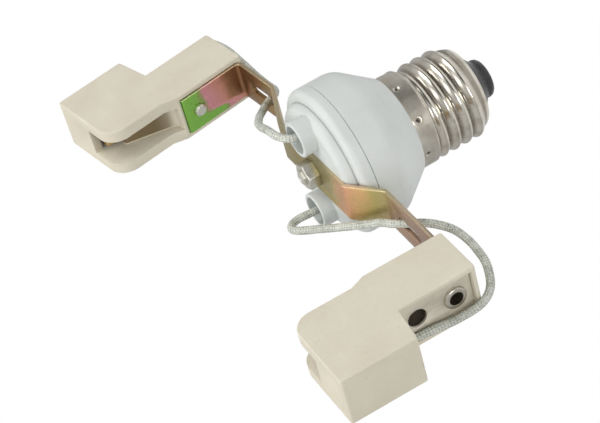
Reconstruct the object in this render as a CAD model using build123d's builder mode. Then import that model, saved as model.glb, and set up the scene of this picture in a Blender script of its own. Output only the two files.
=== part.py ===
from build123d import *
import os
from math import atan2, cos, degrees, radians, sin, tan

os.makedirs("parts", exist_ok=True)

# Adapter from an E27 screw base to a double ended R7s linear lamp.
# Origin at the tip of the centre contact, +Z along the screw axis towards the lamp,
# +X and -X towards the two lamp holders, Y across the strap. Millimetres.

# Screw base
thread_major = 26.4
thread_pitch = 3.629
thread_depth = 1.15
thread_start = 9.4
thread_turns = 3.85
shell_end = 7.4
shell_end_diameter = 22.0
shell_lip = 0.8
shell_wall = 0.45
skirt_diameter = 26.6
skirt_length = 5.0
contact_diameter = 6.4
contact_height = 1.2
contact_stem = 3.0
insulator_boss_diameter = 11.0
insulator_boss_height = 2.4
insulator_plug_length = 5.5
contact_stem_rise = 1.0

# Housing and front cap
shoulder_height = 29.5
shoulder_diameter = 28.4
housing_diameter = 41.8
housing_wall_height = 8.0
housing_rounding = 6.0
shoulder_rounding = 0.8
parting_height = 47.0
housing_wall = 2.0
neck_bore = 20.6
spigot_length = 3.0
spigot_clearance = 0.15
rim_height = 3.8
rim_rounding = 1.9
tier_inset = 3.0
tier_height = 3.0
tier_taper = 0.3
tier_rounding = 2.6
cap_web = 2.6
boss_margin = 0.2
boss_diameter = 10.0
boss_wall = 1.0
boss_height = 3.8
boss_mouth_rounding = 0.35

# Strap
strap_width = 11.4
strap_thickness = 1.2
strap_bend_radius = 1.6
inner_bend_inset = 4.6
leg_end_gap = 0.2
slot_length = 10.4
slot_width = 2.8

# The two arms were bent by hand: each has its own bend, drop, lean and toe-in
right_slope_run = 15.3
right_drop = 6.25
right_lean = 5.9
right_toe = 9.0
right_span = 48.2
right_slot_run = 5.6
right_overhang = 0.6
left_slope_run = 9.3
left_drop = 6.9
left_lean = 1.1
left_toe = 1.0
left_span = 49.4
left_slot_run = 10.8
left_overhang = 1.2

# Centre screw and nut, M4
screw_diameter = 4.0
screw_protrusion = 0.8
screw_head_diameter = 8.0
screw_head_height = 2.6
nut_across_flats = 7.0
nut_height = 3.2
nut_face_inset = 0.1
nut_corner_drop = 1.9
end_chamfer = 0.4

# Lamp holder, measured outwards from its inner face and forwards from its back end
holder_thickness = 14.6
holder_neck_depth = 15.5
holder_neck_length = 21.6
holder_head_depth = 26.5
holder_head_slant = 1.3
holder_head_length = 22.46
holder_jog = 1.7
jog_gap = 0.7
jog_run = 4.2
holder_nose_radius = 5.6
holder_edge = 0.7
leg_channel_depth = 0.5
recess_depth = 2.0
recess_back_wall = 1.3
recess_rim = 1.2
pocket_height = 7.8
trough_gap = 1.0
trough_rear_depth = 3.5
trough_front_depth = 9.0
divider_thickness = 1.4
divider_length = 11.2
chamber_gap = 3.8
front_wall = 2.3
front_wall_reach = 13.3
outer_wall = 3.0
screw_edge_distance = 4.5
holder_screw_diameter = 3.5
holder_screw_head = 6.0
holder_screw_head_height = 2.2
holder_screw_sink = 6.0
driver_slot_width = 0.9
holder_screw_end = 1.2
eyelet_place = 6.3
eyelet_diameter = 4.6
eyelet_bore = 3.8
eyelet_flange = 6.2
eyelet_flange_height = 0.8
eyelet_seat = 1.4
plate_thickness = 0.7
plate_hole = 5.2
plate_rounding = 0.6
plate_end_gap = 0.5
lead_room = 2.6

# Lamp contact
spring_thickness = 0.4
spring_width = 5.0
spring_root_gap = 3.9
spring_fold = 2.3
spring_radii = [0.7, 2.0, 0.5]
pad_gap = 0.5
pad_place = 0.3
pad_length = 3.8
tail_rise = 1.5
tail_length = 0.5
contact_tip_diameter = 3.2
contact_tip_height = 1.3
terminal_thickness = 0.5
terminal_barrel = 2.8
terminal_barrel_length = 4.6
terminal_reach = 14.0
terminal_ear = 3.7
rivet_diameter = 2.0
rivet_head = 3.2
rivet_head_height = 0.6
rivet_depth = 1.6
rivet_place = 18.0

# Leads
lead_diameter = 2.2
wire_diameter = 1.4
lead_edge_gap = 0.1
lead_sink = 0.8

# Clearances
running_clearance = 0.2
hole_clearance = 0.3

thread_core = thread_major / 2 - thread_depth
shell_bore = thread_core - shell_wall
skirt_start = shoulder_height - skirt_length
skirt_bore = skirt_diameter / 2 - shell_wall
rim_front = parting_height + rim_height
strap_back = rim_front + tier_height
strap_face = strap_back + strap_thickness
cap_floor = strap_back - cap_web
tier_base_radius = housing_diameter / 2 - tier_inset
tier_top_radius = tier_base_radius - tier_taper
boss_place = tier_top_radius - boss_margin - boss_diameter / 2
inner_bend = housing_diameter / 2 - inner_bend_inset
right_outer_bend = inner_bend + right_slope_run
left_outer_bend = inner_bend + left_slope_run
right_slot_place = right_outer_bend + right_slot_run
left_slot_place = left_outer_bend + left_slot_run
screw_end = strap_face + nut_height + screw_protrusion
half_holder = holder_thickness / 2
half_recess = half_holder - recess_rim
recess_floor = holder_neck_depth - recess_depth
leg_length = holder_neck_length - leg_end_gap
holder_length = holder_neck_length + holder_head_length
holder_jog_start = holder_neck_length + jog_gap
holder_jog_end = holder_jog_start + jog_run
trough_start = holder_neck_length + trough_gap
chamber_start = holder_neck_length + chamber_gap
divider_end = chamber_start + divider_length
chamber_face = trough_front_depth + divider_thickness
chamber_end = holder_length - front_wall
chamber_outer_face = holder_head_depth - outer_wall
holder_screw_place = leg_length - screw_edge_distance
holder_screw_seat = recess_floor - holder_screw_sink
plate_length = holder_neck_length - recess_back_wall - running_clearance - plate_end_gap
plate_width = 2 * half_recess - lead_room
plate_side = half_recess - running_clearance - plate_width / 2
spring_root_depth = chamber_outer_face - spring_root_gap
pad_depth = chamber_face + pad_gap
spring_bend_depth = pad_depth + spring_fold
pad_start = divider_end + pad_place
pad_end = pad_start + pad_length
tail_depth = pad_depth + tail_rise
tail_place = pad_end + tail_length
lead_side = half_recess - lead_diameter / 2 - lead_edge_gap
lead_depth = holder_neck_depth - lead_sink
insulator_boss_face = contact_height
insulator_cone_face = insulator_boss_face + insulator_boss_height
insulator_plug_end = shell_end + insulator_plug_length
contact_stem_end = insulator_plug_end + contact_stem_rise
lead_hole = lead_diameter + 2 * running_clearance


# Place of a holder: local X outwards from its inner face, local Y forwards from its back end.
# The arm of the strap, seen from its outer bend, ends where the back of the leg starts.
def holder_plane(side, span, toe, overhang, outer_bend, drop, lean):
    half_strap = strap_thickness / 2
    leg_middle = leg_channel_depth - half_strap
    elbow_along = overhang + half_strap
    elbow_reach = span + leg_middle * cos(radians(toe)) - elbow_along * sin(radians(toe))
    arm_rise = (elbow_reach - outer_bend) * tan(radians(lean))
    elbow_height = strap_face - half_strap - drop + arm_rise
    back_end = elbow_height - leg_middle * sin(radians(toe)) - elbow_along * cos(radians(toe))
    return Plane(
        origin=(side * span, 0, back_end),
        x_dir=(side * cos(radians(toe)), 0, sin(radians(toe))),
        z_dir=(0, -side, 0),
    )


# A plane whose normal runs outwards (local X of the holder) at a given depth
def outward_plane(place, depth):
    return Plane(
        origin=place.from_local_coords((depth, 0, 0)),
        x_dir=place.y_dir,
        z_dir=place.x_dir,
    )


# A plane whose normal runs forwards (local Y of the holder), its X across and its Y outwards
def forward_plane(place, along):
    return Plane(
        origin=place.from_local_coords((0, along, 0)),
        x_dir=place.z_dir,
        z_dir=place.y_dir,
    )


right_place = holder_plane(
    1, right_span, right_toe, right_overhang, right_outer_bend, right_drop, right_lean
)
left_place = holder_plane(
    -1, left_span, left_toe, left_overhang, left_outer_bend, left_drop, left_lean
)

# Screw shell: nickel plated sheet, with a rolled round thread and a plain skirt
with BuildPart() as screw_shell:
    with BuildSketch(Plane.XZ) as shell_section:
        with BuildLine() as shell_outline:
            Polyline(
                (shell_end_diameter / 2 - shell_lip, shell_end),
                (shell_end_diameter / 2, shell_end),
                (thread_core, shell_end + 2 * thread_depth),
                (thread_core, skirt_start - thread_depth),
                (skirt_diameter / 2, skirt_start),
                (skirt_diameter / 2, shoulder_height),
                (skirt_bore, shoulder_height),
                (skirt_bore, skirt_start),
                (shell_bore, skirt_start - thread_depth),
                (shell_bore, shell_end + 2 * thread_depth),
                (shell_end_diameter / 2 - shell_wall, shell_end + shell_wall),
                (shell_end_diameter / 2 - shell_lip, shell_end + shell_wall),
                close=True,
            )
        make_face()
    revolve(axis=Axis.Z)
    with BuildLine(Plane.XY.offset(thread_start)) as thread_path:
        Helix(thread_pitch, thread_pitch * thread_turns, thread_core)
    ridge_plane = Plane(
        origin=thread_path.line @ 0,
        x_dir=(1, 0, 0),
        z_dir=thread_path.line % 0,
    )
    with BuildSketch(ridge_plane) as ridge:
        with BuildLine() as ridge_outline:
            crest = ThreePointArc(
                (0, -0.47 * thread_pitch), (thread_depth, 0), (0, 0.47 * thread_pitch)
            )
            Polyline(
                crest @ 1,
                (-shell_wall / 2, 0.4 * thread_pitch),
                (-shell_wall / 2, -0.4 * thread_pitch),
                crest @ 0,
            )
        make_face()
    sweep(path=thread_path.line, is_frenet=True)
screw_shell.part.label = "screw_shell"
export_step(screw_shell.part, "parts/screw_shell.step")

# Base insulator: black moulding that closes the shell and carries the centre contact
with BuildPart() as base_insulator:
    with BuildSketch(Plane.XZ) as insulator_section:
        with BuildLine() as insulator_outline:
            Polyline(
                (contact_stem / 2, insulator_boss_face),
                (insulator_boss_diameter / 2, insulator_boss_face),
                (insulator_boss_diameter / 2, insulator_cone_face),
                (shell_end_diameter / 2 - shell_lip, shell_end),
                (shell_end_diameter / 2 - shell_lip, shell_end + shell_wall),
                (shell_end_diameter / 2 - shell_wall - running_clearance, shell_end + shell_wall),
                (shell_bore - running_clearance, shell_end + 2 * thread_depth),
                (shell_bore - running_clearance, insulator_plug_end),
                (contact_stem / 2, insulator_plug_end),
                close=True,
            )
        make_face()
        boss_corner = insulator_section.vertices().group_by(Axis.Y)[0].sort_by(Axis.X)[-1]
        fillet(boss_corner, radius=1.2)
    revolve(axis=Axis.Z)
base_insulator.part.label = "base_insulator"
export_step(base_insulator.part, "parts/base_insulator.step")

# Centre contact: domed rivet through the insulator
with BuildPart() as centre_contact:
    with BuildSketch(Plane.XZ) as contact_section:
        with BuildLine() as contact_outline:
            dome = ThreePointArc(
                (0, 0),
                (0.6 * contact_diameter / 2, 0.25 * contact_height),
                (contact_diameter / 2, contact_height),
            )
            Polyline(
                dome @ 1,
                (contact_stem / 2, contact_height),
                (contact_stem / 2, contact_stem_end),
                (0, contact_stem_end),
                dome @ 0,
            )
        make_face()
    revolve(axis=Axis.Z)
centre_contact.part.label = "centre_contact"
export_step(centre_contact.part, "parts/centre_contact.step")

# Housing: white cup that tapers to a shoulder and a neck pressed into the shell
with BuildPart() as housing:
    cone_top = parting_height - housing_wall_height
    with BuildSketch(Plane.XZ) as housing_section:
        with BuildLine() as housing_outline:
            Polyline(
                (neck_bore / 2, skirt_start + 0.5),
                (skirt_bore - running_clearance, skirt_start + 0.5),
                (skirt_bore - running_clearance, shoulder_height),
                (shoulder_diameter / 2, shoulder_height),
                (housing_diameter / 2, cone_top),
                (housing_diameter / 2, parting_height),
                (housing_diameter / 2 - housing_wall, parting_height),
                (housing_diameter / 2 - housing_wall, cone_top + 0.6),
                (neck_bore / 2, shoulder_height + housing_wall),
                close=True,
            )
        make_face()
        outer_corners = housing_section.vertices().group_by(Axis.X)[-1].sort_by(Axis.Y)
        fillet(outer_corners[0], radius=housing_rounding)
        shoulder_corner = housing_section.vertices().filter_by_position(
            Axis.X, shoulder_diameter / 2 - 0.01, shoulder_diameter / 2 + 0.01
        )
        fillet(shoulder_corner, radius=shoulder_rounding)
    revolve(axis=Axis.Z)
housing.part.label = "housing"
export_step(housing.part, "parts/housing.step")

# Front cap: white stepped lid with two round cable bosses
with BuildPart() as front_cap:
    spigot_radius = housing_diameter / 2 - housing_wall - spigot_clearance
    with BuildSketch(Plane.XZ) as cap_section:
        with BuildLine() as cap_outline:
            Polyline(
                (0, strap_back),
                (tier_top_radius, strap_back),
                (tier_base_radius, rim_front),
                (housing_diameter / 2, rim_front),
                (housing_diameter / 2, parting_height),
                (spigot_radius, parting_height),
                (spigot_radius, parting_height - spigot_length),
                (spigot_radius - housing_wall, parting_height - spigot_length),
                (spigot_radius - housing_wall, parting_height),
                (tier_base_radius - cap_web, cap_floor),
                (0, cap_floor),
                close=True,
            )
        make_face()
        rim_corner = cap_section.vertices().group_by(Axis.X)[-1].sort_by(Axis.Y)[-1]
        fillet(rim_corner, radius=rim_rounding)
        tier_corner = cap_section.vertices().group_by(Axis.Y)[-1].sort_by(Axis.X)[-1]
        fillet(tier_corner, radius=tier_rounding)
    revolve(axis=Axis.Z)
    with BuildSketch(Plane.XY.offset(cap_floor)) as boss_rings:
        with GridLocations(1, 2 * boss_place, 1, 2):
            Circle(boss_diameter / 2)
    extrude(amount=strap_back + boss_height - cap_floor)
    boss_mouths = front_cap.edges().filter_by(GeomType.CIRCLE).group_by(Axis.Z)[-1]
    fillet(boss_mouths, radius=boss_mouth_rounding)
    with BuildSketch(Plane.XY.offset(cap_floor + 1.0)) as boss_bores:
        with GridLocations(1, 2 * boss_place, 1, 2):
            Circle(boss_diameter / 2 - boss_wall)
    extrude(amount=cap_web + boss_height, mode=Mode.SUBTRACT)
    with BuildSketch(Plane.XY.offset(cap_floor)) as cap_holes:
        Circle((screw_diameter + hole_clearance) / 2)
        with GridLocations(1, 2 * boss_place, 1, 2):
            Circle(lead_hole / 2)
    extrude(amount=2 * cap_web, both=True, mode=Mode.SUBTRACT)
front_cap.part.label = "front_cap"
export_step(front_cap.part, "parts/front_cap.step")


# Middle line of one arm of the strap, from the inner bend to the end of its leg
def arm_points(side, outer_bend, drop, overhang, place):
    half_strap = strap_thickness / 2
    leg_middle = leg_channel_depth - half_strap
    elbow = place.from_local_coords((leg_middle, overhang + half_strap, 0))
    leg_end = place.from_local_coords((leg_middle, leg_length, 0))
    return [
        (side * inner_bend, strap_face - half_strap),
        (side * outer_bend, strap_face - half_strap - drop),
        (elbow.X, elbow.Z),
        (leg_end.X, leg_end.Z),
    ]


right_arm = arm_points(1, right_outer_bend, right_drop, right_overhang, right_place)
left_arm = arm_points(-1, left_outer_bend, left_drop, left_overhang, left_place)


# Plane on the outer part of an arm, local X along the arm and local Y across the strap
def slot_plane(side, arm, slot_place):
    bend, elbow = arm[1], arm[2]
    share = (slot_place - abs(bend[0])) / (abs(elbow[0]) - abs(bend[0]))
    height = bend[1] + share * (elbow[1] - bend[1])
    return Plane(
        origin=(side * slot_place, 0, height),
        x_dir=(elbow[0] - bend[0], 0, elbow[1] - bend[1]),
        z_dir=(-side * (elbow[1] - bend[1]), 0, side * (elbow[0] - bend[0])),
    )


# Strap: one bent strip of yellow passivated steel that carries both holders
with BuildPart() as strap:
    with BuildSketch(Plane.XZ) as strap_profile:
        with BuildLine() as strap_line:
            FilletPolyline(*reversed(left_arm), *right_arm, radius=strap_bend_radius)
        trace(line_width=strap_thickness)
    extrude(amount=strap_width / 2, both=True)
    with BuildSketch(Plane.XY.offset(strap_face)) as strap_hole:
        Circle((screw_diameter + hole_clearance) / 2)
    extrude(amount=2 * strap_thickness, both=True, mode=Mode.SUBTRACT)
    for side, arm, along in ((1, right_arm, right_slot_place), (-1, left_arm, left_slot_place)):
        with BuildSketch(slot_plane(side, arm, along)) as lead_slot:
            SlotOverall(slot_length, slot_width)
        extrude(amount=2 * strap_thickness, both=True, mode=Mode.SUBTRACT)
    for place in (right_place, left_place):
        with BuildSketch(outward_plane(place, 0)) as leg_hole:
            with Locations((holder_screw_place, 0)):
                Circle(holder_screw_diameter / 2)
        extrude(amount=2 * strap_thickness, both=True, mode=Mode.SUBTRACT)
strap.part.label = "strap"
export_step(strap.part, "parts/strap.step")

# Centre screw: pan head inside the cap, end standing just proud of the nut
with BuildPart() as centre_screw:
    with BuildSketch(Plane.XY.offset(cap_floor)) as screw_stem:
        Circle(screw_diameter / 2)
    extrude(amount=screw_end - cap_floor)
    chamfer(centre_screw.faces().sort_by(Axis.Z)[-1].edges(), length=end_chamfer)
    with BuildSketch(Plane.XY.offset(cap_floor)) as screw_head:
        Circle(screw_head_diameter / 2)
    extrude(amount=-screw_head_height)
    fillet(centre_screw.faces().sort_by(Axis.Z)[0].edges(), radius=0.9)
centre_screw.part.label = "centre_screw"
export_step(centre_screw.part, "parts/centre_screw.step")

# Centre nut: hexagon nut that clamps the strap on the cap
with BuildPart() as centre_nut:
    with BuildSketch(Plane.XY.offset(strap_face)) as nut_outline:
        RegularPolygon(nut_across_flats / 2, 6, major_radius=False, rotation=20)
    extrude(amount=nut_height)
    with BuildSketch(Plane.XZ) as nut_corners:
        with BuildLine() as nut_corner_outline:
            Polyline(
                (nut_across_flats / 2 - nut_face_inset, strap_face + nut_height),
                (nut_across_flats, strap_face + nut_height - nut_corner_drop),
                (nut_across_flats, strap_face + nut_height),
                close=True,
            )
        make_face()
    revolve(axis=Axis.Z, mode=Mode.SUBTRACT)
    with BuildSketch(Plane.XY.offset(strap_face)) as nut_bore:
        Circle(screw_diameter / 2)
    extrude(amount=nut_height, mode=Mode.SUBTRACT)
centre_nut.part.label = "centre_nut"
export_step(centre_nut.part, "parts/centre_nut.step")


# One ceramic holder: narrow neck against the strap, wide head with the lamp pocket
def ceramic_holder(place):
    with BuildPart() as holder:
        with BuildSketch(place) as holder_outline:
            with BuildLine() as outline:
                Polyline(
                    (0, 0),
                    (holder_neck_depth, 0),
                    (holder_neck_depth, holder_neck_length),
                    (holder_head_depth, holder_neck_length + holder_head_slant),
                    (holder_head_depth, holder_length),
                    (holder_jog, holder_length),
                    (holder_jog, holder_jog_end),
                    (0, holder_jog_start),
                    close=True,
                )
            make_face()
            nose = holder_outline.vertices().group_by(Axis.Y)[-1].sort_by(Axis.X)[0]
            fillet(nose, radius=holder_nose_radius)
            corners = holder_outline.vertices().sort_by(Axis.Y)
            fillet(corners.filter_by_position(Axis.Y, -1, 1), radius=holder_edge)
            corners = holder_outline.vertices()
            fillet(corners.group_by(Axis.Y)[-1].sort_by(Axis.X)[-1], radius=holder_edge)
            corners = holder_outline.vertices().group_by(Axis.X)[-1]
            fillet(corners.sort_by(Axis.Y)[0], radius=holder_edge)
        extrude(amount=half_holder, both=True)
        rims = holder.faces().filter_by(Axis.Y)
        fillet(rims.edges(), radius=holder_edge / 2)
        # Pocket for the lamp end: its floor ramps outwards, with the spring chamber behind it
        with BuildSketch(place) as pocket:
            with BuildLine() as pocket_outline:
                Polyline(
                    (-holder_jog, trough_start),
                    (trough_rear_depth, trough_start),
                    (trough_front_depth, divider_end),
                    (trough_front_depth, holder_length + holder_jog),
                    (-holder_jog, holder_length + holder_jog),
                    close=True,
                )
            make_face()
            rear_corner = pocket.vertices().group_by(Axis.Y)[0].sort_by(Axis.X)[-1]
            fillet(rear_corner, radius=trough_rear_depth / 2)
            with BuildLine() as chamber_outline:
                Polyline(
                    (trough_front_depth - divider_thickness, divider_end),
                    (chamber_face, divider_end),
                    (chamber_face, chamber_start),
                    (chamber_outer_face, chamber_start),
                    (chamber_outer_face, chamber_end),
                    (front_wall_reach, chamber_end),
                    (front_wall_reach, holder_length + holder_jog),
                    (trough_front_depth - divider_thickness, holder_length + holder_jog),
                    close=True,
                )
            make_face()
        extrude(amount=pocket_height / 2, both=True, mode=Mode.SUBTRACT)
        # Recess in the outer face of the neck, for the cover plate and the lead
        with BuildSketch(outward_plane(place, recess_floor)) as recess:
            with Locations(((recess_back_wall + holder_neck_length) / 2, 0)):
                Rectangle(holder_neck_length - recess_back_wall, 2 * half_recess)
        extrude(amount=recess_depth + holder_edge, mode=Mode.SUBTRACT)
        # Shallow channel that keeps the leg of the strap from turning
        with BuildSketch(outward_plane(place, leg_channel_depth)) as leg_channel:
            with Locations(((leg_length + hole_clearance) / 2, 0)):
                Rectangle(leg_length + hole_clearance, strap_width + 2 * running_clearance)
        extrude(amount=-2 * leg_channel_depth, mode=Mode.SUBTRACT)
        # Inlet of the lead into the chamber, and the socket of the terminal rivet
        with BuildSketch(forward_plane(place, holder_neck_length - holder_edge)) as inlet:
            with Locations((lead_side, lead_depth)):
                Circle(lead_hole / 2)
        extrude(amount=chamber_start - holder_neck_length + holder_edge, mode=Mode.SUBTRACT)
        with BuildSketch(forward_plane(place, chamber_start)) as terminal_channel:
            with Locations((lead_side, lead_depth)):
                Circle((terminal_barrel + 2 * running_clearance) / 2)
        extrude(amount=terminal_barrel_length + 2 * running_clearance, mode=Mode.SUBTRACT)
        with BuildSketch(forward_plane(place, chamber_start - rivet_depth)) as rivet_socket:
            with Locations((0, rivet_place)):
                Circle(rivet_diameter / 2)
        extrude(amount=rivet_depth, mode=Mode.SUBTRACT)
        # Holder screw hole with its sunk head, and the eyelet hole
        with BuildSketch(outward_plane(place, 0)) as through_holes:
            with Locations((holder_screw_place, 0)):
                Circle((holder_screw_diameter + hole_clearance) / 2)
            with Locations((eyelet_place, 0)):
                Circle((eyelet_diameter + running_clearance) / 2)
        extrude(amount=holder_neck_depth, mode=Mode.SUBTRACT)
        with BuildSketch(outward_plane(place, holder_screw_seat)) as head_sink:
            with Locations((holder_screw_place, 0)):
                Circle((holder_screw_head + hole_clearance) / 2)
        extrude(amount=recess_floor - holder_screw_seat, mode=Mode.SUBTRACT)
        with BuildSketch(outward_plane(place, eyelet_seat)) as eyelet_sink:
            with Locations((eyelet_place, 0)):
                Circle((eyelet_flange + hole_clearance) / 2)
        extrude(amount=-eyelet_seat, mode=Mode.SUBTRACT)
    return holder.part


# Cover plate: grey steel strip in the recess, with a driver hole and the eyelet hole
def cover_plate(place):
    with BuildPart() as plate:
        with BuildSketch(outward_plane(place, recess_floor)) as plate_outline:
            middle = recess_back_wall + running_clearance + plate_length / 2
            with Locations((middle, -plate_side)):
                RectangleRounded(plate_length, plate_width, plate_rounding)
            with Locations((holder_screw_place, 0)):
                Circle(plate_hole / 2, mode=Mode.SUBTRACT)
            with Locations((eyelet_place, 0)):
                Circle((eyelet_diameter + running_clearance) / 2, mode=Mode.SUBTRACT)
        extrude(amount=plate_thickness)
    return plate.part


# Eyelet: hollow rivet that clamps the plate, flared on both ends
def eyelet(place):
    plate_face = recess_floor + plate_thickness
    with BuildPart() as rivet:
        with BuildSketch(outward_plane(place, eyelet_seat)) as tube:
            with Locations((eyelet_place, 0)):
                Circle(eyelet_diameter / 2)
        extrude(amount=plate_face - eyelet_seat)
        for depth, height in ((eyelet_seat, -eyelet_flange_height), (plate_face, eyelet_flange_height)):
            with BuildSketch(outward_plane(place, depth)) as flange:
                with Locations((eyelet_place, 0)):
                    Circle(eyelet_flange / 2)
            extrude(amount=height)
        ends = rivet.faces().filter_by(GeomType.PLANE)
        outer_face = ends.sort_by_distance(place.from_local_coords((60, eyelet_place, 0)))[0]
        fillet(outer_face.edges(), radius=0.8 * eyelet_flange_height)
        with BuildSketch(outward_plane(place, 0)) as bore:
            with Locations((eyelet_place, 0)):
                Circle(eyelet_bore / 2)
        extrude(amount=2 * holder_neck_depth, mode=Mode.SUBTRACT)
    return rivet.part


# Holder screw: driven from the plate side, its end standing out of the leg
def holder_screw(place):
    screw_tip = leg_channel_depth - strap_thickness - holder_screw_end
    with BuildPart() as screw:
        with BuildSketch(outward_plane(place, screw_tip)) as stem:
            with Locations((holder_screw_place, 0)):
                Circle(holder_screw_diameter / 2)
        extrude(amount=holder_screw_seat - screw_tip)
        ends = screw.faces().filter_by(GeomType.PLANE)
        tip = ends.sort_by_distance(place.from_local_coords((-60, holder_screw_place, 0)))[0]
        chamfer(tip.edges(), length=end_chamfer)
        with BuildSketch(outward_plane(place, holder_screw_seat)) as head:
            with Locations((holder_screw_place, 0)):
                Circle(holder_screw_head / 2)
        extrude(amount=holder_screw_head_height)
        with BuildSketch(outward_plane(place, holder_screw_seat + holder_screw_head_height)) as driver_slot:
            with Locations((holder_screw_place, 0)):
                Rectangle(driver_slot_width, holder_screw_head)
        extrude(amount=-holder_screw_head_height / 2, mode=Mode.SUBTRACT)
    return screw.part


# Contact spring: flat strip folded at its root, running behind the divider to a flat pad
def contact_spring(place):
    root = chamber_start + spring_thickness / 2
    with BuildPart() as spring:
        with BuildSketch(place) as spring_profile:
            with BuildLine() as spring_line:
                FilletPolyline(
                    (spring_root_depth, root),
                    (spring_bend_depth, root),
                    (pad_depth, pad_start),
                    (pad_depth, pad_end),
                    (tail_depth, tail_place),
                    radius=spring_radii,
                )
            trace(line_width=spring_thickness)
        extrude(amount=spring_width / 2, both=True)
        with BuildSketch(forward_plane(place, chamber_start)) as rivet_hole:
            with Locations((0, rivet_place)):
                Circle(rivet_diameter / 2)
        extrude(amount=2 * spring_thickness, mode=Mode.SUBTRACT)
    return spring.part


# Terminal: brass crimp barrel with a tab riveted on the root of the spring
def contact_terminal(place):
    tab_face = chamber_start + spring_thickness
    with BuildPart() as terminal:
        with BuildSketch(forward_plane(place, tab_face)) as tab:
            across = (terminal_ear - spring_width / 2) / 2
            with Locations((across, (terminal_reach + spring_root_depth) / 2)):
                Rectangle(terminal_ear + spring_width / 2, spring_root_depth - terminal_reach)
            with Locations((0, rivet_place)):
                Circle(rivet_diameter / 2, mode=Mode.SUBTRACT)
        extrude(amount=terminal_thickness)
        with BuildSketch(forward_plane(place, chamber_start)) as barrel:
            with Locations((lead_side, lead_depth)):
                Circle(terminal_barrel / 2)
        extrude(amount=terminal_barrel_length)
    return terminal.part


# Terminal rivet: holds tab and spring on the ceramic
def terminal_rivet(place):
    tab_front = chamber_start + spring_thickness + terminal_thickness
    with BuildPart() as rivet:
        with BuildSketch(forward_plane(place, chamber_start - rivet_depth)) as stem:
            with Locations((0, rivet_place)):
                Circle(rivet_diameter / 2)
        extrude(amount=tab_front - chamber_start + rivet_depth)
        with BuildSketch(forward_plane(place, tab_front)) as head:
            with Locations((0, rivet_place)):
                Circle(rivet_head / 2)
        extrude(amount=rivet_head_height)
        ends = rivet.faces().filter_by(GeomType.PLANE)
        front = ends.sort_by_distance(place.from_local_coords((rivet_place, 60, 0)))[0]
        fillet(front.edges(), radius=0.4)
    return rivet.part


# Contact tip: domed button on the pad of the spring, facing the lamp
def contact_tip(place):
    tip_face = pad_depth - spring_thickness / 2
    tip_place = (pad_start + pad_end) / 2
    with BuildPart() as tip:
        with BuildSketch(outward_plane(place, tip_face)) as button:
            with Locations((tip_place, 0)):
                Circle(contact_tip_diameter / 2)
        extrude(amount=-contact_tip_height)
        ends = tip.faces().filter_by(GeomType.PLANE)
        nose = ends.sort_by_distance(place.from_local_coords((-60, tip_place, 0)))[0]
        fillet(nose.edges(), radius=0.8 * contact_tip_height)
    return tip.part


for name, place in (("right", right_place), ("left", left_place)):
    pieces = {
        "ceramic_holder": ceramic_holder(place),
        "cover_plate": cover_plate(place),
        "eyelet": eyelet(place),
        "holder_screw": holder_screw(place),
        "contact_spring": contact_spring(place),
        "contact_tip": contact_tip(place),
        "contact_terminal": contact_terminal(place),
        "terminal_rivet": terminal_rivet(place),
    }
    for kind, piece in pieces.items():
        piece.label = kind + "_" + name
        export_step(piece, "parts/" + piece.label + ".step")


# Radius of each corner of a route, as large as its two runs allow
def route_radii(route):
    radii = []
    for before, corner, after in zip(route, route[1:], route[2:]):
        run_in = Vector(*corner) - Vector(*before)
        run_out = Vector(*after) - Vector(*corner)
        half_turn = radians(run_in.get_angle(run_out)) / 2
        radii.append(0.45 * min(run_in.length, run_out.length) / tan(half_turn))
    return radii


# A plain round tube along a route of straight runs and tangent arcs
def route_tube(name, route, diameter):
    radii = route_radii(route)
    with BuildPart() as tube:
        with BuildLine() as path:
            FilletPolyline(*route, radius=radii)
        with BuildSketch(Plane(origin=path.line @ 0, z_dir=path.line % 0)) as section:
            Circle(diameter / 2)
        sweep(path=path.line)
    print(name, "radii", [round(radius, 1) for radius in radii])
    length = sum(edge.length for edge in path.edges())
    share = tube.part.volume / (section.sketch.area * length)
    print(name, "length", round(length, 1), "volume share", round(share, 4))
    tube.part.label = name
    export_step(tube.part, "parts/" + name + ".step")


# Leads: braided wires from the cable bosses, through the slots, round the holders' backs
lead_routes = {
    "lead_left": [
        (0.0, 12.4, 51.2),
        (0.0, 12.4, 57.6),
        (0.7, 12.4, 64.4),
        (-2.6, 12.1, 66.7),
        (-8.6, 10.2, 61.8),
        (-15.0, 7.6, 58.0),
        (-21.0, 5.2, 53.8),
        (-26.6, 2.2, 50.9),
        (-31.9, 0.2, 49.7),
        (-36.6, 0.0, 43.6),
        (-43.5, 0.0, 39.6),
        (-51.5, 0.1, 39.2),
        (-60.0, 0.8, 40.4),
        (-66.6, 3.2, 44.9),
        (-66.0, 4.9, 53.4),
        (-63.801, 4.9, 63.41),
        (-63.6545, 4.9, 71.809),
    ],
    "lead_right": [
        (0.0, -12.4, 51.2),
        (0.0, -12.4, 56.4),
        (2.9, -12.9, 60.4),
        (9.8, -11.8, 60.6),
        (16.6, -8.4, 60.2),
        (23.0, -5.4, 57.4),
        (28.6, -2.4, 53.6),
        (33.3, -0.2, 49.9),
        (35.7, 0.1, 45.4),
        (41.2, 0.8, 45.9),
        (48.0, 0.7, 46.2),
        (55.0, -0.6, 46.9),
        (61.7, -2.3, 48.0),
        (65.6, -4.2, 52.0),
        (62.9, -4.9, 58.5),
        (60.0596, -4.9, 67.757),
        (58.7456, -4.9, 76.053),
    ],
}
for name, route in lead_routes.items():
    route_tube(name, route, lead_diameter)

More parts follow.
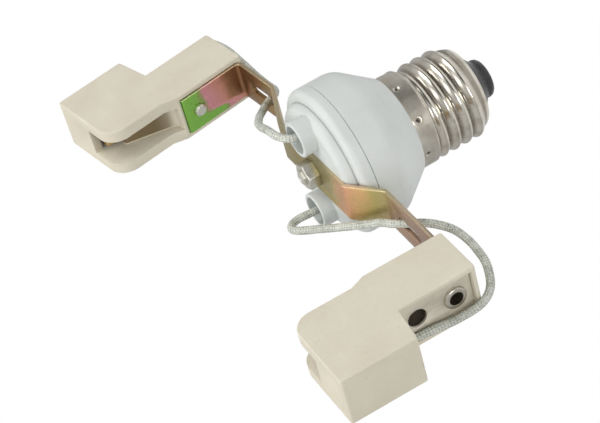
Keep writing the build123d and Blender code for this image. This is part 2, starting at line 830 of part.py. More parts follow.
# Inner wires: from the leads to the shell (left) and to the centre contact (right)
wire_routes = {
    "inner_wire_left": [
        (0.0, 12.4, 51.2),
        (0.0, 12.4, 43.0),
        (-1.6, 9.0, 34.5),
        (-1.2, 7.6, 26.0),
        (-0.4, 8.4, 19.5),
        (0.0, 10.9, 17.2),
    ],
    "inner_wire_right": [
        (0.0, -12.4, 51.2),
        (0.0, -12.4, 43.0),
        (1.6, -8.6, 35.0),
        (1.2, -4.4, 27.4),
        (0.0, 0.0, 20.2),
        (0.0, 0.0, 13.9),
    ],
}
for name, route in wire_routes.items():
    route_tube(name, route, wire_diameter)
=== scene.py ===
from math import atan2, cos, exp, pi, radians, sin, sqrt, tau

import bpy
from mathutils import Matrix, Vector


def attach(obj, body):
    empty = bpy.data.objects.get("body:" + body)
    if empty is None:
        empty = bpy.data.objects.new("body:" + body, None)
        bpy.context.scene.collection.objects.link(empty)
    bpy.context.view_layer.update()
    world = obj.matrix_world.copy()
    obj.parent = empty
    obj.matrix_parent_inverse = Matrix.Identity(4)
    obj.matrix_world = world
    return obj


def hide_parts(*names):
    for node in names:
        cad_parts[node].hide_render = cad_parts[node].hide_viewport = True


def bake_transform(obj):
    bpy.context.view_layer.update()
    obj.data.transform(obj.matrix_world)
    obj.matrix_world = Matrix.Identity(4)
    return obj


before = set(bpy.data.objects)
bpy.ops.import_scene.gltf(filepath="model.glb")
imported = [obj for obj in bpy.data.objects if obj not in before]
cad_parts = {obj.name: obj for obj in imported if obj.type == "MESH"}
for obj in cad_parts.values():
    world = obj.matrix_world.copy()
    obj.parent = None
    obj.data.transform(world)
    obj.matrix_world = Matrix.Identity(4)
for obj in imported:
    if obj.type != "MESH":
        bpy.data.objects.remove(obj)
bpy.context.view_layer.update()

# Camera
# It looks down on the adapter from the side of its E27 screw, rolled as the object was laid,
# with a long lens.
eye = Vector((-0.39849, -0.35855, 0.20323))
camera_right = Vector((-0.49470, 0.21117, -0.84302))
camera_down = Vector((-0.50047, 0.72381, 0.47500))
camera_back = camera_right.cross(-camera_down)
lens = bpy.data.cameras.new("camera")
lens.lens = 128.94
lens.sensor_width = 36
lens.clip_start, lens.clip_end = 0.01, 50
camera = bpy.data.objects.new("camera", lens)
bpy.context.collection.objects.link(camera)
turn = Matrix((camera_right, -camera_down, camera_back)).transposed()
camera.matrix_world = Matrix.Translation(eye) @ turn.to_4x4()
scene = bpy.context.scene
scene.camera = camera
scene.view_settings.view_transform = "Standard"


# Leads
# Two ivory glass fibre braids over a stranded core. They come out of the cable bosses, pass
# the slots of the strap and go round the back of each ceramic holder into its terminal.
class Value:
    """What a node gives, wrapped so that sums of it can be written with signs."""

    def __init__(self, nodes, socket):
        self.nodes, self.socket = nodes, socket

    def maths(self, operation, *terms):
        node = self.nodes.node("Math", {"operation": operation}, dict(enumerate(terms)))
        return self.nodes.out(node)

    def __add__(self, other):
        return self.maths("ADD", self, other)

    def __radd__(self, other):
        return self.maths("ADD", other, self)

    def __sub__(self, other):
        return self.maths("SUBTRACT", self, other)

    def __rsub__(self, other):
        return self.maths("SUBTRACT", other, self)

    def __mul__(self, other):
        return self.maths("MULTIPLY", self, other)

    def __rmul__(self, other):
        return self.maths("MULTIPLY", other, self)

    def sine(self):
        return self.maths("SINE", self)

    def absolute(self):
        return self.maths("ABSOLUTE", self)

    def larger(self, other):
        return self.maths("MAXIMUM", self, other)

    def power(self, other):
        return self.maths("POWER", self, other)


class Nodes:
    """A tree of nodes. Each method adds what it names to the tree."""

    def __init__(self, tree):
        self.tree = tree

    def feed(self, socket, given):
        """Links a socket to what another node gives, or sets its own number or colour."""
        if isinstance(given, Value):
            self.tree.links.new(given.socket, socket)
        else:
            socket.default_value = given

    def node(self, kind, settings=None, places=None, **names):
        """A node with its settings, and its sockets given by their place or their name."""
        node = self.tree.nodes.new("ShaderNode" + kind)
        for setting, choice in (settings or {}).items():
            if setting == "stops":
                ramp = node.color_ramp
                while len(ramp.elements) < len(choice):
                    ramp.elements.new(1)
                for stop, (place, colour) in zip(ramp.elements, choice):
                    stop.position, stop.color = place, colour
            else:
                setattr(node, setting, choice)
        for place, given in (places or {}).items():
            self.feed(node.inputs[place], given)
        for words, given in names.items():
            self.feed(node.inputs[words.replace("_", " ")], given)
        return node

    def out(self, node, socket=0):
        return Value(self, node.outputs[socket])

    def axis(self, letter, source="Object"):
        spot = self.out(self.node("TexCoord"), source)
        return self.out(self.node("SeparateXYZ", Vector=spot), letter)

    def attribute(self, name):
        return self.out(self.node("Attribute", {"attribute_name": name}), "Fac")

    def noise(self, size, detail=4.0, roughness=0.55, stretch=(1, 1, 1), location=(0, 0, 0)):
        spot = self.out(self.node("TexCoord"), "Object")
        spot = self.out(self.node("Mapping", Vector=spot, Scale=stretch, Location=location))
        return self.out(self.node(
            "TexNoise", Vector=spot, Scale=1 / size, Detail=detail, Roughness=roughness))

    def ramp(self, value, *stops):
        return self.out(self.node("ValToRGB", {"stops": stops}, Fac=value))

    def span(self, value, low, high, to_low=0.0, to_high=1.0):
        """A soft step from one value to another while the given value goes from low to high."""
        return self.out(self.node(
            "MapRange", {"interpolation_type": "SMOOTHSTEP"}, Value=value,
            From_Min=low, From_Max=high, To_Min=to_low, To_Max=to_high))

    def mix(self, share, first, second):
        """Two colours mixed by the share of the second."""
        node = self.node("Mix", {"data_type": "RGBA"}, {0: share, 6: first, 7: second})
        return self.out(node, 2)


class Finish(Nodes):
    """A surface finish: one shader, with constants on its own sockets."""

    def __init__(self, name, **constants):
        self.material = bpy.data.materials.new(name)
        self.material.use_nodes = True
        super().__init__(self.material.node_tree)
        self.shader = self.tree.nodes["Principled BSDF"]
        for words, constant in constants.items():
            self.shader.inputs[words.replace("_", " ")].default_value = constant

    def paint(self, words, value):
        self.feed(self.shader.inputs[words], value)

    def relief(self, height, depth, strength=1.0):
        bump = self.node("Bump", Height=height, Distance=depth, Strength=strength)
        self.paint("Normal", self.out(bump, "Normal"))


def shade(red, green, blue):
    """A colour as seen on a screen, from 0 to 255, for a shader."""
    parts = [part / 255 for part in (red, green, blue)]
    parts = [p / 12.92 if p <= 0.04045 else ((p + 0.055) / 1.055) ** 2.4 for p in parts]
    return (*parts, 1)


def smooth_path(name, route, spacing):
    """Points at even distances along the smooth line that the route's points pull."""
    line = bpy.data.curves.new(name, "CURVE")
    line.dimensions = "3D"
    spline = line.splines.new("NURBS")
    spline.points.add(len(route) - 1)
    for point, spot in zip(spline.points, route):
        point.co = (*spot, 1)
    spline.order_u = 3
    spline.use_endpoint_u = True
    spline.resolution_u = 24
    holder = bpy.data.objects.new(name, line)
    drawn = bpy.data.meshes.new_from_object(holder)
    spots = [vertex.co.copy() for vertex in drawn.vertices]
    bpy.data.objects.remove(holder)
    bpy.data.meshes.remove(drawn)
    even, spare = [spots[0]], 0.0
    for start, end in zip(spots, spots[1:]):
        run = (end - start).length
        while run > 0 and spare + run >= spacing:
            start = start + (end - start) * ((spacing - spare) / run)
            run = (end - start).length
            spare = 0.0
            even.append(start)
        spare += run
    even.append(spots[-1])
    return even


lead_diameter = 0.0022
strand_count, strand_height = 10, 0.00009
braid_lay = 0.0080
tube_sides, ring_spacing = 72, 0.00017
waviness, short_wave, long_wave = 0.00002, 0.0011, 0.0031


def braid_radius(angle, run):
    """Radius of the braid at a place. Two sets of strands wind opposite ways and cross."""
    wound = tau * run / braid_lay
    one = cos(strand_count * (angle + wound) / 2)
    two = cos(strand_count * (angle - wound) / 2)
    over = 0.5 + 0.5 * sin(strand_count * angle / 2) * sin(strand_count * wound / 2)
    ridge = over * abs(one) + (1 - over) * abs(two)
    wave = waviness * (sin(run / short_wave + angle) + sin(run / long_wave + 2 * angle))
    return lead_diameter / 2 - strand_height + strand_height * ridge + wave


def braided_tube(name, path):
    """A closed tube along the path whose wall is the braid."""
    tangent = (path[1] - path[0]).normalized()
    side = tangent.orthogonal().normalized()
    corners, faces, runs = [], [], []
    run = 0.0
    for index, spot in enumerate(path):
        if index:
            run += (spot - path[index - 1]).length
            ahead = path[min(index + 1, len(path) - 1)] - path[index - 1]
            turned = ahead.normalized()
            side = tangent.rotation_difference(turned) @ side
            side = (side - turned * side.dot(turned)).normalized()
            tangent = turned
        other = tangent.cross(side)
        runs.append(run)
        for step in range(tube_sides):
            angle = tau * step / tube_sides
            out = side * cos(angle) + other * sin(angle)
            corners.append(spot + out * braid_radius(angle, run))
    for ring in range(len(path) - 1):
        first = ring * tube_sides
        for step in range(tube_sides):
            here, beside = first + step, first + (step + 1) % tube_sides
            faces.append((here, beside, beside + tube_sides, here + tube_sides))
    faces.append(tuple(reversed(range(tube_sides))))
    faces.append(tuple(range(len(corners) - tube_sides, len(corners))))
    mesh = bpy.data.meshes.new(name)
    mesh.from_pydata(corners, [], faces)
    unwrapped = mesh.uv_layers.new(name="braid")
    for face in mesh.polygons:
        steps = [mesh.loops[near].vertex_index % tube_sides for near in face.loop_indices]
        last_in_ring = len(steps) == 4 and max(steps) > 1
        for corner in face.loop_indices:
            ring, step = divmod(mesh.loops[corner].vertex_index, tube_sides)
            around = 1.0 if last_in_ring and step == 0 else step / tube_sides
            unwrapped.data[corner].uv = (runs[ring] / braid_lay, around)
    smooth = [len(face.vertices) == 4 for face in mesh.polygons]
    mesh.polygons.foreach_set("use_smooth", smooth)
    tube = bpy.data.objects.new(name, mesh)
    bpy.context.collection.objects.link(tube)
    return tube


def braid_finish():
    """Off-white fibre, soiled in patches, with painted shade in the gaps of the weave."""
    cloth = Finish("ivory_braid", Roughness=0.85)
    along, around = cloth.axis("X", "UV") * tau, cloth.axis("Y", "UV") * tau
    one = ((along + around) * (strand_count / 2)).sine()
    two = ((along - around) * (strand_count / 2)).sine()
    weave = one * two
    fibre = cloth.noise(0.00030, detail=4, roughness=0.7)
    patch = cloth.noise(0.0035, detail=3)
    # The weave term paints shade into the gaps between the strands; it also feeds the bump.
    colour = cloth.ramp(
        weave * 0.06 + fibre * 0.72 + patch * 0.28,
        (0.34, shade(104, 106, 96)), (0.46, shade(178, 181, 170)), (0.60, shade(222, 224, 215)))
    cloth.paint("Base Color", colour)
    cloth.relief(fibre * 0.7 + weave * 0.3, 0.00012, 0.8)
    return cloth.material


# The routes' points are in millimetres, from the boss to the terminal.
lead_routes = {
    "lead_left": [
        (0.0, 12.4, 51.2),
        (0.0, 12.4, 57.6),
        (0.7, 12.4, 64.4),
        (-2.6, 12.1, 66.7),
        (-8.6, 10.2, 61.8),
        (-15.0, 7.6, 58.0),
        (-21.0, 5.2, 53.8),
        (-26.6, 2.2, 50.9),
        (-31.9, 0.2, 49.7),
        (-36.6, 0.0, 43.6),
        (-43.5, 0.0, 39.6),
        (-51.5, 0.1, 39.2),
        (-60.0, 0.8, 40.4),
        (-66.6, 3.2, 44.9),
        (-66.0, 4.9, 53.4),
        (-63.801, 4.9, 63.41),
        (-63.6545, 4.9, 71.809),
    ],
    "lead_right": [
        (0.0, -12.4, 51.2),
        (0.0, -12.4, 56.4),
        (2.9, -12.9, 60.4),
        (9.8, -11.8, 60.6),
        (16.6, -8.4, 60.2),
        (23.0, -5.4, 57.4),
        (28.6, -2.4, 53.6),
        (33.3, -0.2, 49.9),
        (35.7, 0.1, 45.4),
        (41.2, 0.8, 45.9),
        (48.0, 0.7, 46.2),
        (55.0, -0.6, 46.9),
        (61.7, -2.3, 48.0),
        (65.6, -4.2, 52.0),
        (62.9, -4.9, 58.5),
        (60.0596, -4.9, 67.757),
        (58.7456, -4.9, 76.053),
    ],
}
ivory_braid = braid_finish()
for name, route in lead_routes.items():
    route = [tuple(part / 1000 for part in spot) for spot in route]
    path = smooth_path(name, route, ring_spacing)
    lead = braided_tube(name + "_braid", path)
    lead.data.materials.append(ivory_braid)
    length = sum((end - start).length for start, end in zip(path, path[1:]))
    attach(lead, "adapter")
    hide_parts(name)

# Studio
# A white floor well below the adapter, which is held by its screw, and soft white light from
# large panels above and beside it.
floor_height, floor_size = -0.14, 0.5
bpy.ops.mesh.primitive_grid_add(x_subdivisions=8, y_subdivisions=8, size=floor_size,
                                location=(0, 0, floor_height))
floor = bpy.context.object
floor.name = "floor"
paper = Finish("white_paper", Base_Color=shade(236, 236, 236), Roughness=0.9)
paper.relief(paper.noise(0.002), 0.0001, 0.2)
seen = paper.out(paper.node("LightPath"), "Is Camera Ray")
white = paper.out(paper.node("Emission", Color=(1, 1, 1, 1), Strength=1.0))
blend = paper.node("MixShader", places={0: seen, 1: paper.out(paper.shader), 2: white})
paper.feed(paper.tree.nodes["Material Output"].inputs[0], paper.out(blend))
floor.data.materials.append(paper.material)

# The room is grey in the adapter's reflections, with two dark sides, and white to the camera.
# Each dark side has its direction, how near to it the dark is full and where it begins, as
# cosines, and the share of the light that is left there.
dark_sides = (
    ((-0.43, -0.89, 0.12), 0.98, 0.88, 0.08),
    ((0.27, -0.92, -0.28), 0.95, 0.85, 0.35),
)
world = bpy.data.worlds.new("studio")
scene.world = world
world.use_nodes = True
sky = Nodes(world.node_tree)
facing = sky.out(sky.node("TexCoord"), "Generated")
glow = sky.span(sky.axis("Z", "Generated"), -0.2, 0.75, 0.50, 0.62)
for towards, full, begins, share in dark_sides:
    near = sky.node("VectorMath", {"operation": "DOT_PRODUCT"}, {0: facing, 1: towards})
    glow = glow * sky.span(sky.out(near, "Value"), begins, full, 1.0, share)
seen = sky.out(sky.node("LightPath"), "Is Camera Ray")
strength = sky.out(sky.node("Mix", places={0: seen, 2: glow, 3: 1.0}))
background = sky.tree.nodes["Background"]
sky.feed(background.inputs["Color"], (1, 1, 1, 1))
sky.feed(background.inputs["Strength"], strength)

adapter_middle = Vector((0, 0, 0.045))


def panel(name, towards, distance, size, power):
    """A square soft light that faces the middle of the adapter."""
    light = bpy.data.lights.new(name, "AREA")
    light.size, light.energy = size, power
    holder = bpy.data.objects.new(name, light)
    bpy.context.collection.objects.link(holder)
    towards = Vector(towards).normalized()
    holder.location = adapter_middle + towards * distance
    holder.rotation_euler = towards.to_track_quat("Z", "Y").to_euler()


panel("key_panel", (0.30, -0.85, 0.42), distance=0.9, size=0.6, power=3.2)
panel("lamp_side_panel", (0.0, -0.20, 0.95), distance=1.0, size=0.7, power=4.0)
panel("right_panel", (-0.89, -0.43, 0.08), distance=1.0, size=0.36, power=2.9)


# Screw shell
# Thin brass sheet, rolled into the round E27 screw thread and plated with bright nickel. Its
# plain skirt is held on the housing by eight punch marks.
def nickel_finish():
    """Bright plating, tarnished in spots, with painted shade in the roots of the thread and in
    the pits of the punch marks.
    """
    metal = Finish("bright_nickel", Metallic=1.0)
    cloud = metal.noise(0.006, detail=4)
    scratch = metal.noise(0.0007, detail=4, stretch=(1, 1, 5))
    tarnish = metal.span(metal.noise(0.0025, detail=3), 0.5, 0.75)
    colour = metal.ramp(cloud, (0.3, shade(194, 187, 173)), (0.7, shade(222, 218, 207)))
    colour = metal.mix(tarnish * 0.3, colour, shade(132, 118, 98))
    # Painted shade, darkest in the roots of the thread.
    colour = metal.mix(metal.attribute("root") * 0.6, colour, shade(98, 86, 70))
    # Painted shade, near-black in the pits of the punch marks.
    colour = metal.mix(metal.attribute("punch"), colour, shade(34, 30, 25))
    metal.paint("Base Color", colour)
    skirt = metal.span(metal.axis("Z"), skirt_start - 0.0009, skirt_start + 0.0001)
    wear = metal.span(scratch * 0.6 + cloud * 0.4, 0.3, 0.7, 0.14, 0.26)
    metal.paint("Roughness", wear + skirt * 0.13)
    metal.relief(scratch, 0.000008, 0.3)
    return metal.material


def spun(name, outline, steps):
    """A closed outline of radius and height, spun once round the screw's axis."""
    bpy.ops.object.select_all(action="DESELECT")
    bpy.ops.mesh.primitive_circle_add(vertices=len(outline), radius=0.01, location=(0, 0, 0))
    piece = bpy.context.object
    piece.name = name
    for vertex, (radius, height) in zip(piece.data.vertices, outline):
        vertex.co = (radius, 0, height)
    bpy.ops.object.mode_set(mode="EDIT")
    bpy.ops.mesh.select_all(action="SELECT")
    bpy.ops.mesh.spin(steps=steps, angle=tau, center=(0, 0, 0), axis=(0, 0, 1))
    bpy.ops.mesh.select_all(action="SELECT")
    bpy.ops.mesh.remove_doubles(threshold=1e-7)
    bpy.ops.mesh.normals_make_consistent(inside=False)
    bpy.ops.object.mode_set(mode="OBJECT")
    return piece


def place_piece(piece, finish, body, slot, *nodes):
    """Gives a piece its finish and its body, and hides the nodes that it stands for. The slot is
    not used.
    """
    piece.data.materials.clear()
    piece.data.materials.append(finish)
    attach(piece, body)
    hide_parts(*nodes)


thread_start, thread_pitch, thread_turns = 0.0094, 0.003629, 3.85
thread_core, thread_depth = 0.01205, 0.00115
shell_end, skirt_start, shoulder = 0.0074, 0.0245, 0.0295
end_radius, skirt_radius = 0.011, 0.0133
shell_wall, end_lip = 0.00045, 0.0008
outline_step = 0.00024
punch_count, first_punch, punch_height = 8, radians(-55), 0.0279


def shell_radius(height):
    """Radius of the shell's outer face before its thread is rolled."""
    if height < shell_end + 2 * thread_depth:
        share = (height - shell_end) / (2 * thread_depth)
        return end_radius + (thread_core - end_radius) * share ** 0.7
    rise = (height - skirt_start + thread_depth) / thread_depth
    rise = min(1.0, max(0.0, rise))
    return thread_core + (skirt_radius - thread_core) * rise * rise * (3 - 2 * rise)


def thread_rise(angle, height):
    """Height of the rolled thread over the shell at a place, with soft run-outs."""
    turn = (angle % tau) / tau
    ridge = round((height - thread_start) / thread_pitch - turn)
    along = ridge + turn
    off = (height - thread_start) / thread_pitch - along
    fade_in = min(1.0, max(0.0, (along + 0.15) / 0.45))
    fade_out = min(1.0, max(0.0, (thread_turns + 0.1 - along) / 0.35))
    crest = (0.5 + 0.5 * cos(tau * off)) ** 0.72
    return thread_depth * crest * fade_in * fade_out


def punch_rise(gap):
    """Height of the sheet at a distance from a punch mark: a pit in a hollow, and a rim."""
    pit = 0.00042 * exp(-((gap / 0.0005) ** 2))
    hollow = 0.00012 * exp(-((gap / 0.0013) ** 2))
    rim = 0.00012 * exp(-(((gap - 0.0011) / 0.0003) ** 2))
    return rim - pit - hollow


shell_outline = []
height = shell_end
while height < shoulder:
    shell_outline.append((shell_radius(height), height))
    height += outline_step
shell_outline.append((skirt_radius, shoulder))
for radius, height in reversed(shell_outline[1:]):
    shell_outline.append((radius - shell_wall, height))
shell_outline.append((end_radius - end_lip, shell_end + shell_wall))
shell_outline.append((end_radius - end_lip, shell_end + 0.0001))
rolled = spun("rolled_shell", shell_outline, steps=240)
# The shell's points carry two painted shades for the material: one in the roots of the thread,
# one in the pits of the punch marks.
groove_shade = rolled.data.attributes.new("root", "FLOAT", "POINT")
pit_shade = rolled.data.attributes.new("punch", "FLOAT", "POINT")
for vertex in rolled.data.vertices:
    spot = vertex.co
    radius, angle = sqrt(spot.x ** 2 + spot.y ** 2), atan2(spot.y, spot.x)
    if radius < end_radius - 0.0004:
        continue
    rise = thread_rise(angle, spot.z)
    if thread_start - 0.001 < spot.z < skirt_start - 0.001:
        groove_shade.data[vertex.index].value = max(0.0, 1 - rise / (0.55 * thread_depth)) ** 1.5
    for punch in range(punch_count):
        turned = angle - first_punch - tau * punch / punch_count
        around = ((turned + pi) % tau - pi) * skirt_radius
        gap = sqrt((1.25 * around) ** 2 + (spot.z - punch_height) ** 2)
        rise += punch_rise(gap)
        # The pit's painted shade, full in the middle of the mark.
        mark = exp(-((gap / 0.00058) ** 4))
        if mark > 0.02:
            pit_shade.data[vertex.index].value = mark
    spot.x *= (radius + rise) / radius
    spot.y *= (radius + rise) / radius
bpy.ops.object.shade_smooth_by_angle(angle=radians(50))
nickel = nickel_finish()
place_piece(rolled, nickel, "adapter", "nickel_plate", "screw_shell")


# Base insulator and centre contact
# A glossy black moulding closes the end of the shell. The centre contact is a domed rivet of
# nickel plated brass, headed over in the moulding's middle.
def plain_finish(name, dark, light, metallic, rough, grain=0.0005, depth=0.00002):
    """One colour, clouded and finely grained."""
    surface = Finish(name, Metallic=metallic)
    cloud = surface.noise(0.005, detail=4)
    fine = surface.noise(grain, detail=3)
    colour = surface.ramp(cloud * 0.7 + fine * 0.3, (0.3, dark), (0.7, light))
    surface.paint("Base Color", colour)
    surface.paint("Roughness", surface.span(fine, 0.3, 0.7, rough - 0.06, rough + 0.08))
    surface.relief(fine, depth, 0.5)
    return surface.material


def break_edges(piece, width, angle, segments=2, harden=False):
    """Bevels the edges of a piece that turn by more than the angle."""
    bevel = piece.modifiers.new("broken_edges", "BEVEL")
    bevel.width, bevel.segments = width, segments
    bevel.limit_method, bevel.angle_limit = "ANGLE", radians(angle)
    bevel.harden_normals = harden
    bpy.ops.object.modifier_apply(modifier=bevel.name)


insulator_outline = (
    (0.0015, 0.0012), (0.0040, 0.0012), (0.0048, 0.0014), (0.0053, 0.0019), (0.0055, 0.0026),
    (0.0055, 0.0036), (0.0058, 0.0041), (0.0101, 0.0074), (0.0101, 0.00785), (0.0103, 0.00785),
    (0.0113, 0.0097), (0.0113, 0.0129), (0.0015, 0.0129))
black = plain_finish("black_insulator", shade(30, 30, 31), shade(48, 48, 50), 0.0, 0.3)
insulator = spun("moulded_insulator", insulator_outline, steps=160)
break_edges(insulator, 0.00025, angle=30)
bpy.ops.object.shade_smooth_by_angle(angle=radians(32))
place_piece(insulator, black, "adapter", "black_insulator", "base_insulator")
contact_outline = (
    (0.00001, 0.0), (0.0008, 0.00004), (0.0016, 0.0002), (0.0024, 0.0005), (0.0029, 0.0008),
    (0.0032, 0.00118), (0.0032, 0.00122), (0.0015, 0.00122), (0.0015, 0.0139),
    (0.00001, 0.0139))
contact = spun("domed_contact", contact_outline, steps=96)
bpy.ops.object.shade_smooth_by_angle(angle=radians(40))
place_piece(contact, nickel, "adapter", "nickel_plate", "centre_contact")


# Housing and front cap
# White injection moulded cup and its stepped lid, satin with a fine moulded texture. The lid
# snaps into the cup at the parting line and has two tubes for the leads.
def moulding_finish():
    """Cool white plastic, faintly smudged, with painted shade in the corner round the lid's
    step.
    """
    plastic = Finish("white_moulding", Roughness=0.42, Specular_IOR_Level=0.4)
    cloud = plastic.noise(0.012, detail=3)
    grain = plastic.noise(0.0004, detail=2)
    smudge = plastic.span(plastic.noise(0.004, detail=4, location=(1, 2, 3)), 0.58, 0.74)
    colour = plastic.ramp(
        cloud * 0.8 + grain * 0.2, (0.3, shade(204, 208, 205)), (0.7, shade(213, 217, 214)))
    colour = plastic.mix(smudge * 0.12, colour, shade(178, 180, 174))
    east, north, up = plastic.axis("X"), plastic.axis("Y"), plastic.axis("Z")
    radius = (east * east + north * north).power(0.5)
    # Painted shade in the corner round the lid's step, in a band by radius and by height.
    ring = plastic.span(radius, 0.0184, 0.0180) * plastic.span(radius, 0.0170, 0.0174)
    step = plastic.span(up, 0.0514, 0.0509) * plastic.span(up, 0.0500, 0.0506)
    plastic.paint("Base Color", plastic.mix(ring * step * 0.5, colour, shade(120, 122, 116)))
    plastic.paint("Roughness", plastic.span(grain, 0.3, 0.7, 0.36, 0.48))
    plastic.relief(grain, 0.00002, 0.4)
    return plastic.material


def select_only(piece):
    bpy.ops.object.select_all(action="DESELECT")
    piece.select_set(True)
    bpy.context.view_layer.objects.active = piece


def worked_copy(node, name, edge, segments=2):
    """The node's own shape as one merged mesh, with its sharp edges broken."""
    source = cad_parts[node]
    piece = bpy.data.objects.new(name, source.data.copy())
    bpy.context.collection.objects.link(piece)
    select_only(piece)
    if piece.data.has_custom_normals:
        bpy.ops.mesh.customdata_custom_splitnormals_clear()
    bpy.ops.object.mode_set(mode="EDIT")
    bpy.ops.mesh.select_all(action="SELECT")
    bpy.ops.mesh.remove_doubles(threshold=1e-6)
    bpy.ops.mesh.dissolve_limited(angle_limit=radians(0.5), delimit={"NORMAL"})
    bpy.ops.object.mode_set(mode="OBJECT")
    if edge:
        break_edges(piece, edge, angle=28, segments=segments, harden=True)
    bpy.ops.object.shade_smooth_by_angle(angle=radians(36))
    return piece


cup_radius, bend, bend_height = 0.0209, 0.006, 0.0409
bend_turn, bend_steps = 35.2, 12
cup_outline = [
    (0.0103, 0.0250), (0.01265, 0.0250), (0.01265, 0.0295), (0.0134, 0.0295),
    (0.0140, 0.0297), (0.01437, 0.0302)]
for step in range(bend_steps + 1):
    turn = radians(bend_turn * (step / bend_steps - 1))
    cup_outline.append((cup_radius - bend + bend * cos(turn), bend_height + bend * sin(turn)))
cup_outline += [
    (cup_radius, 0.04672), (0.02082, 0.04682), (0.0189, 0.04682), (0.0189, 0.0396),
    (0.0103, 0.0315)]
white_moulding = moulding_finish()
cup = spun("moulded_cup", cup_outline, steps=200)
bpy.ops.object.shade_smooth_by_angle(angle=radians(28))
place_piece(cup, white_moulding, "adapter", "white_housing", "housing")
cap = worked_copy("front_cap", "moulded_cap", 0.0003, 3)
place_piece(cap, white_moulding, "adapter", "white_housing", "front_cap")


# Strap
# One strip of steel, bent by hand into its two arms, with the yellow passivation that turns
# from olive to pink and green across a sheet. The nut clamps it on the cap.
def passivated_finish():
    """Passivated steel, coloured along its arms and up its legs, with a painted highlight along
    its cut edges.
    """
    steel = Finish("yellow_passivated_steel", Metallic=0.85)
    drift = steel.noise(0.012, detail=3) - 0.5
    speck = steel.noise(0.0006, detail=3)
    east, north, up = steel.axis("X"), steel.axis("Y"), steel.axis("Z")
    along_arms = east + drift * 0.010 + (speck - 0.5) * 0.003 - north * 0.3
    arms = steel.ramp(
        steel.span(along_arms, -0.05, 0.05),
        (0.00, shade(170, 140, 124)), (0.10, shade(192, 160, 132)), (0.16, shade(196, 180, 126)),
        (0.19, shade(194, 178, 112)), (0.23, shade(226, 184, 126)), (0.28, shade(232, 176, 138)),
        (0.34, shade(216, 178, 122)), (0.38, shade(186, 172, 116)), (0.50, shade(168, 158, 112)),
        (0.60, shade(158, 146, 104)), (0.80, shade(176, 164, 124)), (0.90, shade(168, 140, 96)),
        (1.00, shade(140, 104, 70)))
    up_legs = up + drift * 0.008 + (speck - 0.5) * 0.002
    near_edge = steel.span(north + drift * 0.002, 0.0028, 0.0042)
    legs = steel.ramp(
        steel.span(up_legs + near_edge * 0.006, 0.046, 0.074),
        (0.00, shade(150, 108, 76)), (0.20, shade(166, 118, 84)), (0.32, shade(224, 156, 140)),
        (0.60, shade(232, 160, 172)), (0.68, shade(154, 172, 100)), (0.74, shade(146, 202, 96)),
        (1.00, shade(140, 204, 88)))
    on_leg = steel.span(up, 0.0498, 0.0512) * steel.span(east.absolute(), 0.034, 0.040)
    colour = steel.mix(on_leg, arms, legs)
    colour = steel.mix(steel.span(speck, 0.35, 0.8) * 0.25, colour, shade(130, 120, 90))
    # Painted highlight: the cut edges are lightened towards pale steel.
    edge_highlight = steel.span(north.absolute(), 0.00555, 0.00568)
    steel.paint("Base Color", steel.mix(edge_highlight * 0.5, colour, shade(214, 202, 172)))
    steel.paint("Roughness", steel.span(speck, 0.3, 0.7, 0.28, 0.46))
    steel.relief(speck, 0.00002, 0.5)
    return steel.material


strap = worked_copy("strap", "bent_strap", 0.00012)
place_piece(strap, passivated_finish(), "adapter", "yellow_passivate", "strap")

# Centre screw and nut
# Bright zinc plated M4 pan screw from inside the cap, and the hexagon nut that clamps the
# strap. Both are turned, and the nut is cut from a hexagon bar.
zinc = plain_finish("bright_zinc", shade(210, 208, 198), shade(222, 220, 211), 1.0, 0.38,
                    grain=0.0012, depth=0.000002)
nut_outline = (
    (0.0020, 0.0550), (0.0043, 0.0550), (0.0043, 0.05772), (0.0034, 0.0582), (0.00235, 0.0582),
    (0.0020, 0.0579))
nut_corner, nut_middle, nut_turn = 0.004041, 0.0566, radians(-10)
nut = spun("turned_nut", nut_outline, steps=96)
bpy.ops.mesh.primitive_cylinder_add(vertices=6, radius=nut_corner, depth=0.0042,
                                    location=(0, 0, 0))
bar = bpy.context.object
bar_place = Matrix.Translation((0, 0, nut_middle)) @ Matrix.Rotation(nut_turn, 4, "Z")
bar.data.transform(bar_place)
select_only(nut)
cut = nut.modifiers.new("hexagon", "BOOLEAN")
cut.operation, cut.object = "INTERSECT", bar
bpy.ops.object.modifier_apply(modifier=cut.name)
bpy.data.objects.remove(bar)
break_edges(nut, 0.0001, angle=35)
bpy.ops.object.shade_smooth_by_angle(angle=radians(25))
place_piece(nut, zinc, "adapter", "bright_zinc", "centre_nut")
screw_outline = (
    (0.00001, 0.0486), (0.0031, 0.0486), (0.0035, 0.0487), (0.0038, 0.04893), (0.00396, 0.04925),
    (0.0040, 0.0495), (0.0040, 0.0512), (0.0020, 0.0512), (0.0020, 0.0580), (0.0018, 0.0582),
    (0.0020, 0.0584), (0.0020, 0.05845), (0.0018, 0.05865), (0.00195, 0.0588), (0.0016, 0.0590),
    (0.0012, 0.0590), (0.0009, 0.05878), (0.00001, 0.05868))
screw = spun("turned_screw", screw_outline, steps=64)
bpy.ops.object.shade_smooth_by_angle(angle=radians(30))
place_piece(screw, zinc, "adapter", "bright_zinc", "centre_screw")


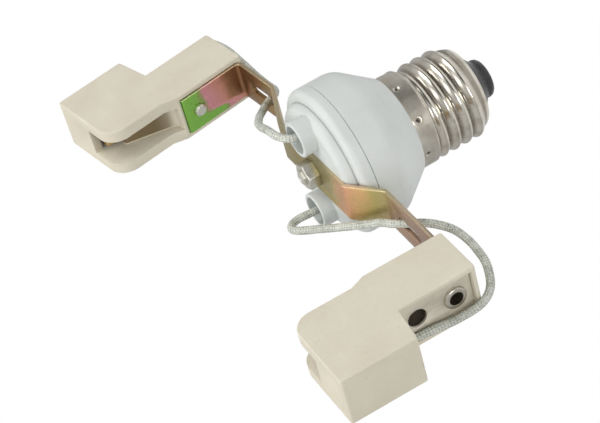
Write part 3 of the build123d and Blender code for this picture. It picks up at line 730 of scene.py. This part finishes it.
# Ceramic holders
# Two identical pressed steatite bodies, unglazed and matt cream, riveted and screwed to the
# legs of the strap. The wide head has the pocket for the lamp's end.
def ceramic_finish(name, sign, span, back_end, toe):
    """Matt cream and speckled, with painted shade inside the pocket and in the bore under the
    plate.
    """
    clay = Finish(name, Roughness=0.75)
    cloud = clay.noise(0.010, detail=5)
    grain = clay.noise(0.0005, detail=3)
    speck = clay.noise(0.0011, detail=1, location=(3, 1, 2))
    north = clay.axis("Y")
    out, up = clay.axis("X") * sign - span, clay.axis("Z") - back_end
    depth = out * cos(toe) + up * sin(toe)
    along = up * cos(toe) - out * sin(toe)
    colour = clay.ramp(cloud * 0.7 + grain * 0.3,
                       (0.3, shade(208, 200, 180)), (0.7, shade(218, 212, 194)))
    dots = clay.span(speck, 0.74, 0.80)
    colour = clay.mix(dots * 0.3, colour, shade(170, 152, 122))
    # Painted shade inside the pocket: between its walls, above its ramp and under its roof.
    between_walls = clay.span(north.absolute(), 0.00396, 0.00388)
    between_walls = between_walls * clay.span(north, 0.0038, 0.0035)
    above_ramp = clay.span(along, 0.0222, 0.0250) * clay.span(depth, 0.0012, 0.0060)
    under_roof = clay.span(along, 0.0419, 0.0416).larger(clay.span(depth, 0.0134, 0.0131))
    inside = between_walls * above_ramp * under_roof * clay.span(depth, 0.0240, 0.0236)
    # The pocket's painted shade is stronger in the +X holder, whose pocket the light reaches
    # less.
    colour = clay.mix(inside * (0.6 + 0.32 * sign), colour, shade(98, 78, 36))
    # Painted shade in the bore under the plate, below the plate's depth.
    from_bore = along - 0.0169
    from_bore = (from_bore * from_bore + north * north).power(0.5)
    bore_shade = clay.span(from_bore, 0.00335, 0.0032) * clay.span(depth, 0.0030, 0.0038)
    colour = clay.mix(bore_shade * 0.9, colour, shade(50, 40, 18))
    clay.paint("Base Color", colour)
    clay.relief(grain * 0.7 + cloud * 0.6, 0.00008, 0.6)
    return clay.material


# Each holder's side, the distance of its leg from the middle, its lower end and its lean.
holder_places = {
    "right": (1, 0.0482, 0.0486663, radians(9.0)),
    "left": (-1, 0.0494, 0.0461565, radians(1.0)),
}
for side, place in holder_places.items():
    node = "ceramic_holder_" + side
    unglazed = ceramic_finish("unglazed_ceramic_" + side, *place)
    pressed = worked_copy(node, "pressed_" + node, 0.0003, 3)
    place_piece(pressed, unglazed, "adapter", "ceramic", node)


# Cover plates, eyelets and holder screws
# A plated steel strip lies in the recess on each holder's outer face. A rolled eyelet clamps
# it, and the holder screw is driven through its hole.
def make_fitting(node, edge, finish, body, slot):
    """A worked copy of a small part that stands for its node."""
    place_piece(worked_copy(node, "made_" + node, edge), finish, body, slot, node)


plate = plain_finish("plated_steel", shade(206, 199, 182), shade(226, 220, 204), 0.45, 0.5)
for side in holder_places:
    make_fitting("cover_plate_" + side, 0.0001, plate, "adapter", "plate_steel")
    make_fitting("eyelet_" + side, 0.00005, nickel, "adapter", "nickel_plate")
    make_fitting("holder_screw_" + side, 0, zinc, "adapter", "bright_zinc")


copper = plain_finish("tinned_copper", shade(196, 166, 116), shade(220, 196, 152), 1.0, 0.28)
silver = plain_finish("contact_silver", shade(206, 206, 203), shade(232, 232, 230), 1.0, 0.2)
for side, place in holder_places.items():
    make_fitting("contact_terminal_" + side, 0.00005, copper, "adapter", "copper_alloy")
    make_fitting("terminal_rivet_" + side, 0, zinc, "adapter", "bright_zinc")
    make_fitting("contact_tip_" + side, 0.00005, silver, "contact_" + side, "contact_silver")
    node = "contact_spring_" + side
    leaf = worked_copy(node, "leaf_" + node, 0.00003)
    leaf.data.materials.clear()
    leaf.data.materials.append(copper)
    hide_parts(node)
    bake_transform(leaf)

# Inner wires
# Sleeved wires from the leads to the shell and to the centre contact, inside the housing.
# They are crimped to the leads and soldered at their ends.
sleeve = plain_finish("wire_sleeve", shade(206, 206, 198), shade(226, 226, 219), 0.0, 0.55)
for side in ("left", "right"):
    make_fitting("inner_wire_" + side, 0, sleeve, "adapter", "wire_sleeve")
